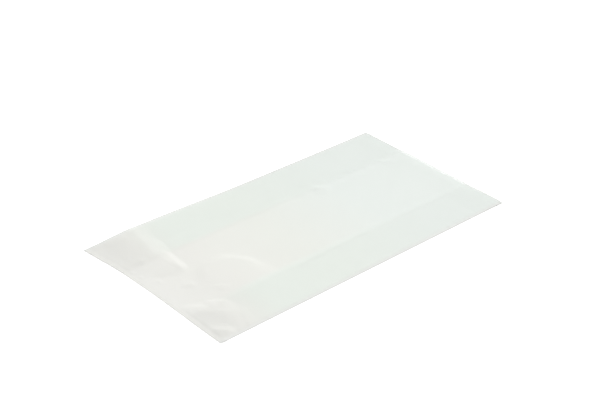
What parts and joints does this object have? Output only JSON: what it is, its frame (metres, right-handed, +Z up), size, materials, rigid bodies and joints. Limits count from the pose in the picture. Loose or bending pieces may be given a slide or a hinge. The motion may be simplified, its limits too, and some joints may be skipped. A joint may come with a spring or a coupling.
{
  "type": "flat poly bag",
  "caption": "Flat, empty side-gusseted bag of clear plastic film, sealed across one end and open at the other.",
  "frame": {"origin": "under the middle of the flat bag, on the surface that it lies on", "axes": "+X along the bag from its sealed end to its open mouth, +Y across it, +Z up through its layers"},
  "size_m": [0.3, 0.15, 0.0036],
  "materials": {
    "film": "clear, slightly milky low-density polyethylene film with a soft sheen"
  },
  "bodies": {
    "root": {"bag": "film"}
  },
  "joints": []
}
